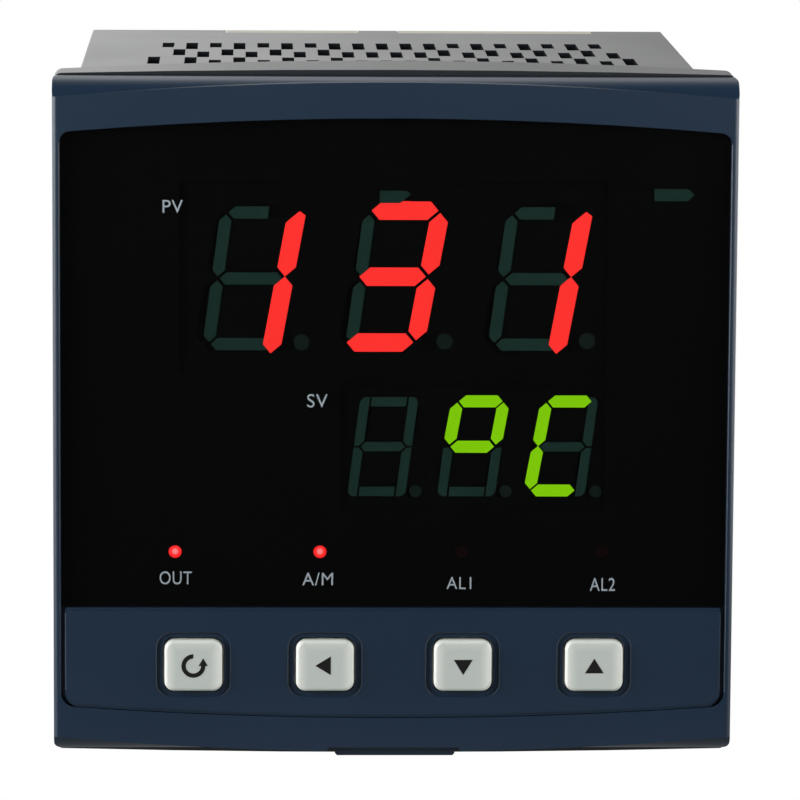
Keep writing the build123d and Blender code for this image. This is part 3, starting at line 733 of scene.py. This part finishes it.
@dataclass(frozen=True)
class DigitFrame:
    """Centre lines, stroke and slant of a row of seven-stroke digits, in front-view millimetres.

    The strokes have the usual letters: a, g and d lie level from the top down, f and b stand above the
    middle, e and c below it, with b and c on the right.
    """

    first: float
    pitch: float
    height: float
    half_width: float
    half_height: float
    stroke: float
    lean: float
    gap: float
    # Gap of an upright at the middle where stroke g isn't shown.
    open_gap: float = 0.0
    # How far stroke c runs on below where stroke d isn't shown.
    foot: float = 0.0
    # How far stroke g lies below the middle.
    middle_drop: float = 0.0
    # Where stroke a is cut off, if it is.
    top_end: float | None = None
    # Top of stroke b where a isn't shown, as steps from its usual tip: the left shoulder's and the right
    # shoulder's height, then the tip's own step across and up.
    lone_shoulders: Point = (-1.42, -0.39)
    lone_tip: Point = (0.39, 0.22)
    # Uprights that run to the corners and are rounded there, between cut-off level strokes.
    squared: bool = False
    corner: float = 0.9
    corner_steps: int = 4

    def level(self, letter: str) -> list[Point]:
        """Outline of a level stroke of an upright digit.

        Args:
            letter: a, g or d.

        Returns:
            Its corners.
        """
        z = {"a": self.half_height, "g": -self.middle_drop, "d": -self.half_height}[letter]
        w = self.stroke / 2
        if self.squared and letter != "g":
            reach = self.half_width - w - self.gap
            return [(-reach, z - w), (-reach, z + w), (reach, z + w), (reach, z - w)]
        reach = self.half_width - self.gap
        left = [(-reach + w, z - w), (-reach, z), (-reach + w, z + w)]
        if letter == "a" and self.top_end is not None:
            return left + [(self.top_end, z + w), (self.top_end, z - w)]
        return left + [(reach - w, z + w), (reach, z), (reach - w, z - w)]

    def pointed_upright(self, letter: str, shown: str) -> list[Point]:
        """Outline of an upright stroke with a point at each end, by its centre line, above the middle.

        Args:
            letter: f, b, e or c.
            shown: all the strokes that are shown in the digit.

        Returns:
            Its corners.
        """
        w = self.stroke / 2
        near = self.gap if "g" in shown else self.open_gap
        far = self.half_height - self.gap
        tip = [(-w, far - w), (0.0, far), (w, far - w)]
        if letter == "c" and "d" not in shown:
            tip = [(x, z + self.foot) for x, z in tip]
        if letter == "b" and "a" not in shown:
            left_drop, right_drop = self.lone_shoulders
            across, up = self.lone_tip
            tip = [(-w, far + left_drop), (across, far + up), (w, far + right_drop)]
        return [(0.0, near), (-w, near + w), *tip, (w, near + w)]

    def squared_upright(self, out: int) -> list[Point]:
        """Outline of an upright stroke with a rounded corner, by its centre line, above the middle.

        Args:
            out: 1 at the right of the digit, -1 at the left.

        Returns:
            Its corners.
        """
        w = self.stroke / 2
        near, far = self.gap / 2, self.half_height + w
        ring = [(out * w, near), (0.0, near), (-out * w, near + w), (-out * w, far)]
        for step in range(self.corner_steps + 1):
            angle = math.pi / 2 * (1 - step / self.corner_steps)
            ring.append((out * (w - self.corner * (1 - math.cos(angle))),
                         far - self.corner * (1 - math.sin(angle))))
        return ring

    def outline(self, place: int, letter: str, shown: str) -> list[Point]:
        """Outline of one stroke where it lies.

        Args:
            place: which digit, from the left.
            letter: the stroke.
            shown: all the strokes that are shown in the digit.

        Returns:
            Its corners across and up.
        """
        if letter in "agd":
            shape = self.level(letter)
        else:
            out = 1 if letter in "bc" else -1
            way = 1 if letter in "fb" else -1
            half = self.squared_upright(out) if self.squared else self.pointed_upright(letter, shown)
            shape = [(out * self.half_width + x, way * z) for x, z in half]
        slope = math.tan(math.radians(self.lean))
        centre = self.first + place * self.pitch
        return [(centre + x + slope * z, self.height + z) for x, z in shape]


@dataclass(frozen=True)
class SegmentGroup:
    """Thin resin bars moulded in a digit block's pockets: the strokes of a display, its points or both."""

    name: str
    slot: str
    front: float
    frame: DigitFrame | None = None
    letters: tuple[str, ...] = ()
    points: tuple[Point, ...] = ()
    point_radius: float = 1.0
    bars: tuple[tuple[Point, ...], ...] = ()
    nodes: tuple[str, ...] = ()
    back: float = -10.02
    point_sides: int = 48

    def disc(self, centre: Point) -> list[Point]:
        """Outline of a decimal point about its centre."""
        turns = (math.tau * i / self.point_sides for i in range(self.point_sides))
        return [(centre[0] + self.point_radius * math.cos(t), centre[1] + self.point_radius * math.sin(t))
                for t in turns]

    def build(self, material: bpy.types.Material) -> bpy.types.Object:
        """Makes the strokes, the decimal points and any further bars.

        Args:
            material: the resin.

        Returns:
            The piece.
        """
        clear_selection()
        outlines = [*self.bars, *(self.disc(point) for point in self.points)]
        for place, shown in enumerate(self.letters):
            outlines += [self.frame.outline(place, letter, shown) for letter in shown]
        made = [flat_outline(outline, self.back) for outline in outlines]
        for piece in made:
            piece.select_set(True)
        if len(made) > 1:
            bpy.ops.object.join()
        thicken(self.back - self.front)
        piece = take_mesh(self.name, "core", material)
        if self.nodes:
            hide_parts(*self.nodes)
        return piece


class Displays:
    """Digit blocks, their segments, the lamps and the mask behind the window."""

    # Depths of the faces: the lit strokes cover the unlit ones, and the small bar covers both.
    unlit_front = -10.33
    lit_front = -10.36
    bar_front = -10.38
    process_lit = DigitFrame(first=-20.46, pitch=20.1, height=20.08, half_width=5.0, half_height=9.33,
                             stroke=2.6, lean=10.4, gap=0.33, foot=1.9)
    process_unlit = DigitFrame(first=-20.22, pitch=20.05, height=19.78, half_width=4.68, half_height=9.3,
                               stroke=1.7, lean=7.55, gap=0.3, open_gap=0.45, top_end=1.2)
    process_points = ((-13.1, 10.75), (7.01, 10.9), (27.09, 11.02))
    process_point_radius = 1.14
    upper_bar = ((-2.2, 30.48), (0.65, 30.48), (2.15, 31.75), (1.55, 32.2), (-2.2, 32.2))
    setting_lit = DigitFrame(first=-1.52, pitch=12.56, height=-3.95, half_width=3.27, half_height=6.36,
                             stroke=1.7, lean=10.2, gap=0.2, middle_drop=0.12)
    setting_unlit = DigitFrame(first=-1.58, pitch=12.68, height=-4.08, half_width=3.42, half_height=6.41,
                               stroke=1.33, lean=7.4, gap=0.28, squared=True)
    setting_points = ((3.07, -10.45), (15.8, -10.44), (28.53, -10.46))
    setting_point_radius = 0.86

    lamp_centres = ((-30.85, -19.1), (-10.4, -19.1))
    lamp_core_radius = 0.609

    def build(self) -> None:
        """Dresses everything that glows and what surrounds it, and lays the strokes over the blocks."""
        dress(["display_mask", "process_display", "setting_display"],
              MouldedPlastic("matt_black_mask", "#030404", roughness=0.8, gloss=0.1))
        red = dress(["process_segments_lit"], LitDiffuser("red_lit_resin", "#FF322E"))
        green = dress(["setting_segments_lit"], LitDiffuser("green_lit_resin", "#7CC505"))
        unlit = dress(["process_segments_dark", "setting_segments_dark", "indicator_bar"],
                      MouldedPlastic("unlit_resin", "#2B4E45", roughness=0.5, gloss=0.2))
        dim = MouldedPlastic("unlit_points_resin", "#1C302B", roughness=0.5, gloss=0.2).build()
        SegmentGroup("process_strokes_unlit", "unlit_diffuser", self.unlit_front, self.process_unlit,
                     ("adefg", "ef", "adefg"), nodes=("process_segments_dark",)).build(unlit)
        SegmentGroup("process_upper_bar", "unlit_diffuser", self.bar_front,
                     bars=(self.upper_bar,)).build(unlit)
        SegmentGroup("process_points", "unlit_diffuser", self.unlit_front,
                     points=self.process_points, point_radius=self.process_point_radius).build(dim)
        SegmentGroup("process_strokes_lit", "lit_red", self.lit_front, self.process_lit,
                     ("bc", "abcdg", "bc"), nodes=("process_segments_lit",)).build(red)
        SegmentGroup("setting_strokes_unlit", "unlit_diffuser", self.unlit_front, self.setting_unlit,
                     ("abcdefg", "cde", "bcg"), nodes=("setting_segments_dark",)).build(unlit)
        SegmentGroup("setting_points", "unlit_diffuser", self.unlit_front,
                     points=self.setting_points, point_radius=self.setting_point_radius).build(dim)
        SegmentGroup("setting_strokes_lit", "lit_green", self.lit_front, self.setting_lit,
                     ("", "abfg", "adef"), nodes=("setting_segments_lit",)).build(green)
        dress(["status_lamps_lit"], LampGlow("lit_red_lamp", "#FF2626", self.lamp_centres,
                                             self.lamp_core_radius, core_colour="#FF9A9C", strength=2.0))
        dress(["status_lamps_dark"], MouldedPlastic("unlit_red_lamp", "#2A0E0C", roughness=0.3))


class Turn(Enum):
    """Way that a key's arrow points, as degrees from +X towards +Z."""

    UP = 90
    LEFT = 180
    DOWN = 270


def flat_triangle(centre: Point, turn: Turn, length: float, breadth: float,
                  y: float) -> bpy.types.Object:
    """Adds a flat triangle in front view.

    Args:
        centre: middle of its box, across and up, in millimetres.
        turn: the way it points.
        length: from base to tip in millimetres.
        breadth: width of its base in millimetres.
        y: depth at which it lies in millimetres.

    Returns:
        The triangle.
    """
    along = math.radians(turn.value)
    ahead = Vector((math.cos(along), math.sin(along))) * length / 2
    beside = Vector((-math.sin(along), math.cos(along))) * breadth / 2
    middle = Vector(centre)
    return flat_outline([middle + ahead, middle - ahead + beside, middle - ahead - beside], y)


@dataclass(frozen=True)
class KeySymbol:
    """Black symbol printed on a key, in front-view millimetres."""

    key: str
    centre: Point
    y: float = FACE_Y - 0.8

    def finish(self, material: bpy.types.Material) -> bpy.types.Object:
        """Gives the flat outline in the active object its print thickness and puts it on its key."""
        thicken(PRINT_THICKNESS)
        return take_mesh(f"symbol_{self.key}", f"key_{self.key}", material)


@dataclass(frozen=True)
class ArrowHead(KeySymbol):
    """Triangle that points one way."""

    turn: Turn = Turn.UP
    length: float = 2.2
    breadth: float = 2.7

    def build(self, material: bpy.types.Material) -> bpy.types.Object:
        """Makes the triangle.

        Args:
            material: the ink.

        Returns:
            The symbol.
        """
        clear_selection()
        flat_triangle(self.centre, self.turn, self.length, self.breadth, self.y)
        return self.finish(material)


@dataclass(frozen=True)
class TurningArrow(KeySymbol):
    """Three quarters of a ring that ends in an arrow head pointing up at its right side."""

    radius: float = 1.38
    stroke: float = 0.62
    head_length: float = 1.12
    head_breadth: float = 1.33
    sweep: float = 270.0
    steps: int = 36

    def build(self, material: bpy.types.Material) -> bpy.types.Object:
        """Spins a short line round the ring and joins the head to it.

        Args:
            material: the ink.

        Returns:
            The symbol.
        """
        clear_selection()
        bpy.ops.mesh.primitive_plane_add(size=1.0)
        ring = bpy.context.view_layer.objects.active
        bpy.ops.object.mode_set(mode="EDIT")
        bpy.ops.mesh.select_mode(type="VERT")
        bpy.ops.mesh.select_all(action="DESELECT")
        bpy.ops.object.mode_set(mode="OBJECT")
        for v in ring.data.vertices:
            v.select = v.co.x > 0
        bpy.ops.object.mode_set(mode="EDIT")
        bpy.ops.mesh.delete(type="VERT")
        bpy.ops.object.mode_set(mode="OBJECT")
        centre = Vector((self.centre[0], self.y, self.centre[1])) * MM
        for v, side in zip(ring.data.vertices, (-self.stroke / 2, self.stroke / 2)):
            v.co = centre + Vector((0, 0, self.radius + side)) * MM
        edit_all()
        bpy.ops.mesh.spin(steps=self.steps, angle=math.radians(self.sweep), center=centre, axis=(0, 1, 0))
        bpy.ops.object.mode_set(mode="OBJECT")
        tip = (self.centre[0] + self.radius, self.centre[1] + self.head_length / 2)
        flat_triangle(tip, Turn.UP, self.head_length, self.head_breadth, self.y)
        ring.select_set(True)
        bpy.ops.object.join()
        return self.finish(material)


class Keys:
    """Four moulded keys with a black symbol printed on each."""

    names = ("cycle", "shift", "down", "up")
    symbols: Sequence[KeySymbol] = (
        TurningArrow("cycle", (-28.24, -35.11)),
        ArrowHead("shift", (-9.92, -35.07), turn=Turn.LEFT, length=2.19, breadth=2.69),
        ArrowHead("down", (9.91, -35.30), turn=Turn.DOWN, length=2.19, breadth=2.70),
        ArrowHead("up", (28.48, -35.08), turn=Turn.UP, length=2.13, breadth=2.68),
    )

    def build(self) -> None:
        """Dresses the keys and prints their symbols."""
        keys = [f"key_{name}" for name in self.names]
        boxes = [[corner / MM for corner in (*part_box(key)[0], *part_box(key)[1])] for key in keys]
        centres = tuple((box[0] + box[3]) / 2 for box in boxes)
        left, _, low, right, _, high = boxes[0]
        # The second colour is a painted highlight on the keys' rims, paler towards their sides and tops.
        dress(keys, SiliconeKey("moulded_silicone", "#ABB1AC", "#DDDFD8", centres, (low + high) / 2,
                                ((right - left) / 2, (high - low) / 2)))
        dress([f"plunger_{name}" for name in self.names], MouldedPlastic("acetal_plunger", "#202122"))
        ink = MouldedPlastic("pad_print_black", "#0B0B0B", roughness=0.55, gloss=0.3).build()
        for symbol in self.symbols:
            symbol.build(ink)


@dataclass(frozen=True)
class CoilSpring:
    """The latch's spring, which is shortened when the latch is pressed: square wire wound about an upright
    axis, at the length of the CAD spring that it stands in for.
    """

    name: str
    node: str
    wire: float = 0.3
    turns: float = 3.5
    steps: int = 84
    keep: float = 0.53

    def build(self, material: bpy.types.Material) -> bpy.types.Object:
        """Winds the wire in the box of the node that it replaces.

        Args:
            material: the wire's material.

        Returns:
            The spring.
        """
        low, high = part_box(self.node)
        middle = [(a + b) / 2 for a, b in zip(low, high)]
        half_wire = self.wire * MM / 2
        radius = (high[0] - low[0]) / 2 - half_wire
        corners = 4
        clear_selection()
        bpy.ops.mesh.primitive_circle_add(
            vertices=corners, radius=half_wire * math.sqrt(2), fill_type="NOTHING",
            location=(radius, 0, low[2] + half_wire), rotation=(math.pi / 2, math.pi / 4, 0))
        piece = bpy.context.view_layer.objects.active
        settle(piece)
        coil = piece.modifiers.new("coil", "SCREW")
        coil.angle = math.tau * self.turns
        coil.screw_offset = high[2] - low[2] - self.wire * MM
        coil.steps = self.steps
        coil.render_steps = self.steps
        bpy.ops.object.modifier_apply(modifier="coil")
        edit_all()
        bpy.ops.mesh.fill_holes(sides=corners)
        leave_edit()
        piece.location = (middle[0], middle[1], 0)
        bpy.context.view_layer.update()
        take_mesh(self.name, "core", material)
        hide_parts(self.node)
        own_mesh(piece)
        return piece


class Case:
    """Sleeve, rear tray, terminals, latch spring and what else is metal or nylon."""

    def build(self) -> None:
        """Dresses the case and its rear, and winds the spring."""
        dress(["case_sleeve"], MouldedPlastic("black_moulded_case", "#1D2024", roughness=0.32,
                                              grain_mm=0.6, grain_depth_mm=0.006))
        dress(["rear_plate"], MouldedPlastic("ivory_moulded_tray", "#BDB8A7", roughness=0.45, cloud=0.04))
        dress(["terminal_block_left", "terminal_block_right", "core_socket_left", "core_socket_right",
               "front_headers", "board_bridge"],
              MouldedPlastic("glass_filled_nylon", "#1C1D1E", roughness=0.5, grain_depth_mm=0.008))
        dress(["terminal_contacts"], PlatedMetal("tinned_brass", "#CFC9B4", roughness=0.35))
        dress(["wire_clamps", "terminal_screws", "board_screws", "latch_pin"],
              PlatedMetal("zinc_plated_steel", "#C9CCCF"))
        steel = dress(["latch_spring"], PlatedMetal("drawn_spring_steel", "#B9BBBE", roughness=0.25))
        CoilSpring("latch_coil", "latch_spring").build(steel)


class Electronics:
    """Boards and what stands on them, seen when the core is drawn out."""

    def build(self) -> None:
        """Dresses the boards and their parts."""
        dress(["display_board", "main_board", "power_board"],
              SolderResist("green_solder_resist", "#14602E"))
        dress(["processor", "small_chips", "supply_module", "tact_switches"],
              MouldedPlastic("epoxy_package", "#1A1A1B", roughness=0.55, grain_depth_mm=0.006))
        dress(["isolators"], MouldedPlastic("white_epoxy_package", "#D9D9D4", roughness=0.5))
        dress(["relays"], MouldedPlastic("blue_relay_case", "#2A5FA8", roughness=0.3))
        dress(["trimmers"], MouldedPlastic("blue_trimmer_case", "#2B6FB5", roughness=0.3))
        dress(["capacitors"], MouldedPlastic("shrunk_sleeve", "#1B2F55", roughness=0.25, gloss=0.6))
        dress(["transformer_core"], StackedSheet("varnished_sheet_stack", "#8E8C88"))
        dress(["transformer_winding"], WoundTape("yellow_polyester_tape", "#D9B23A"))
        dress(["fuse"], CappedGlass("fuse_glass", "#DFE8E4", "#D4D2C8", glass_span=(50.5, 61.5)))


@dataclass(frozen=True)
class Softbox:
    """A soft studio lamp aimed at the origin; one that isn't mirrored never shows in the object's gloss."""

    name: str
    place: tuple[float, float, float]
    watts: float
    size: Point
    mirrored: bool = True

    def build(self) -> None:
        """Adds the lamp, turned to its aim."""
        data = bpy.data.lights.new(self.name, "AREA")
        data.shape = "RECTANGLE"
        data.size, data.size_y = self.size
        data.energy = self.watts
        lamp = bpy.data.objects.new(self.name, data)
        bpy.context.scene.collection.objects.link(lamp)
        lamp.location = self.place
        lamp.rotation_euler = (-Vector(self.place)).to_track_quat("-Z", "Y").to_euler()
        lamp.visible_glossy = self.mirrored


@dataclass(frozen=True)
class ProductCamera:
    """Camera of the photograph: angles in degrees, then distance and aim in millimetres."""

    focal_px: float = 5471.6
    azimuth: float = 1.64
    elevation: float = 8.641
    roll: float = 0.352
    distance: float = 768.9
    aim: tuple[float, float, float] = (0.751, FACE_Y, 2.834)
    clip: Point = (0.05, 20.0)

    def build(self) -> None:
        """Adds the camera and makes it the scene's."""
        az, el, roll = (math.radians(a) for a in (self.azimuth, self.elevation, self.roll))
        back = Vector((-math.sin(az) * math.cos(el), -math.cos(az) * math.cos(el), math.sin(el)))
        right = (-back).cross(Vector((0, 0, 1))).normalized()
        up = right.cross(-back)
        right_rolled = math.cos(roll) * right + math.sin(roll) * up
        up_rolled = math.cos(roll) * up - math.sin(roll) * right
        turn = Matrix((right_rolled, up_rolled, back)).transposed().to_4x4()
        data = bpy.data.cameras.new("product_camera")
        data.sensor_width = SENSOR_MM
        data.lens = self.focal_px * SENSOR_MM / PHOTO_PIXELS
        data.clip_start, data.clip_end = self.clip
        camera = bpy.data.objects.new("product_camera", data)
        bpy.context.scene.collection.objects.link(camera)
        camera.matrix_world = Matrix.Translation((Vector(self.aim) + self.distance * back) * MM) @ turn
        bpy.context.scene.camera = camera


class Studio:
    """White table lit from below, bright surroundings behind, dark ones in front, lamps and camera."""

    half_width = 3.0
    front = -3.0
    rear = 3.0
    lamps = (
        Softbox("left_softbox", (-1.3, -0.5, 0.25), 46.0, (0.9, 1.2)),
        Softbox("right_softbox", (1.3, -0.5, 0.25), 27.0, (0.9, 1.2)),
        Softbox("front_softbox", (-0.3, -1.6, 0.9), 6.0, (0.8, 0.8), mirrored=False),
    )
    # Glow of the table, by metres towards the rear and to either side.
    table_rearward = Ramp(-0.10, 0.05, 0.015, 0.45)
    table_sideways = Ramp(0.12, 0.35, 0.0, 2.2)
    table_colour = "#404040"
    # Surroundings low down, by direction: rearward twice, then across from left to right.
    far_glow = Ramp(0.25, 0.92, 0.0, 0.98)
    side_glow = Ramp(-0.7, 0.2, 0.03, 0.16)
    across_share = Ramp(-0.03, 0.12, 1.08, 0.45)
    diffuse_share = 0.45
    # Panel overhead that only the gloss shows, by direction: upward, rearward and to either side.
    panel_upward = Ramp(0.46, 0.78, 0.0, 2.05)
    panel_rearward = Ramp(0.06, 0.62, 0.0, 1.0)
    panel_sideways = Ramp(0.02, 0.13, 1.0, 0.15)

    def table_material(self) -> bpy.types.Material:
        """Opal table: white to the camera, glowing beside the object and behind it, dark towards the front.

        Returns:
            The material.
        """
        material = empty_material("opal_table")
        tree = material.node_tree
        camera_ray = add_node(tree, "ShaderNodeLightPath").outputs["Is Camera Ray"]
        place = add_node(tree, "ShaderNodeTexCoord").outputs["Object"]
        axes = add_node(tree, "ShaderNodeSeparateXYZ", links={0: place}).outputs
        glow = maths(tree, "ADD", self.table_rearward.follow(tree, axes["Y"]),
                     self.table_sideways.follow(tree, maths(tree, "ABSOLUTE", axes["X"])))
        lit = add_node(tree, "ShaderNodeEmission", links={"Strength": glow}).outputs[0]
        sheet = add_node(tree, "ShaderNodeBsdfDiffuse", {"Color": linear(self.table_colour)}).outputs[0]
        table = add_node(tree, "ShaderNodeAddShader", links={0: lit, 1: sheet}).outputs[0]
        white = add_node(tree, "ShaderNodeEmission", {"Strength": 1.0}).outputs[0]
        mix = add_node(tree, "ShaderNodeMixShader", links={0: camera_ray, 1: table, 2: white})
        add_node(tree, "ShaderNodeOutputMaterial", links={"Surface": mix.outputs[0]})
        return material

    def table(self, floor: float) -> None:
        """Makes the table.

        Args:
            floor: height of the table in metres.
        """
        clear_selection()
        bpy.ops.mesh.primitive_plane_add(size=1.0)
        sheet = bpy.context.view_layer.objects.active
        sheet.name = "studio_table"
        for v in sheet.data.vertices:
            y = self.rear if v.co.y > 0 else self.front
            v.co = (math.copysign(self.half_width, v.co.x), y, floor)
        sheet.data.materials.append(self.table_material())

    def world(self) -> None:
        """Surroundings: white to the camera, bright low behind the object, dim above and dark in front."""
        world = bpy.data.worlds.new("studio")
        world.use_nodes = True
        tree = world.node_tree
        tree.nodes.clear()
        path = add_node(tree, "ShaderNodeLightPath").outputs
        way = add_node(tree, "ShaderNodeTexCoord").outputs["Generated"]
        axes = add_node(tree, "ShaderNodeSeparateXYZ", links={0: way}).outputs
        level = maths(tree, "ADD", self.far_glow.follow(tree, axes["Y"]),
                      self.side_glow.follow(tree, axes["Y"]))
        sloped = maths(tree, "MULTIPLY", level, self.across_share.follow(tree, axes["X"]))
        aside = maths(tree, "ABSOLUTE", axes["X"])
        edge = maths(tree, "MULTIPLY", self.panel_rearward.follow(tree, axes["Y"]),
                     self.panel_sideways.follow(tree, aside))
        panel = maths(tree, "MULTIPLY", self.panel_upward.follow(tree, axes["Z"]), edge)
        mirrored = maths(tree, "MULTIPLY", panel, path["Is Glossy Ray"])
        diffuse = spread(tree, path["Is Diffuse Ray"], 1.0, self.diffuse_share)
        soft = maths(tree, "MULTIPLY_ADD", sloped, diffuse, mirrored)
        strength = maths(tree, "MAXIMUM", soft, path["Is Camera Ray"])
        light = add_node(tree, "ShaderNodeBackground", {"Color": WHITE}, {"Strength": strength})
        add_node(tree, "ShaderNodeOutputWorld", links={"Surface": light.outputs[0]})
        bpy.context.scene.world = world

    def build(self, floor: float) -> None:
        """Sets up the studio.

        Args:
            floor: height of the table in metres.
        """
        self.table(floor)
        self.world()
        for lamp in self.lamps:
            lamp.build()
        ProductCamera().build()
        bpy.context.scene.view_settings.view_transform = "Standard"


def main() -> None:
    """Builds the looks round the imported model."""
    logging.basicConfig(level=logging.INFO)
    clear_selection()
    FrontPanel().build()
    Displays().build()
    Keys().build()
    Case().build()
    Electronics().build()
    Studio().build(cad_bounds[0][2])


if __name__ == "__main__":
    main()
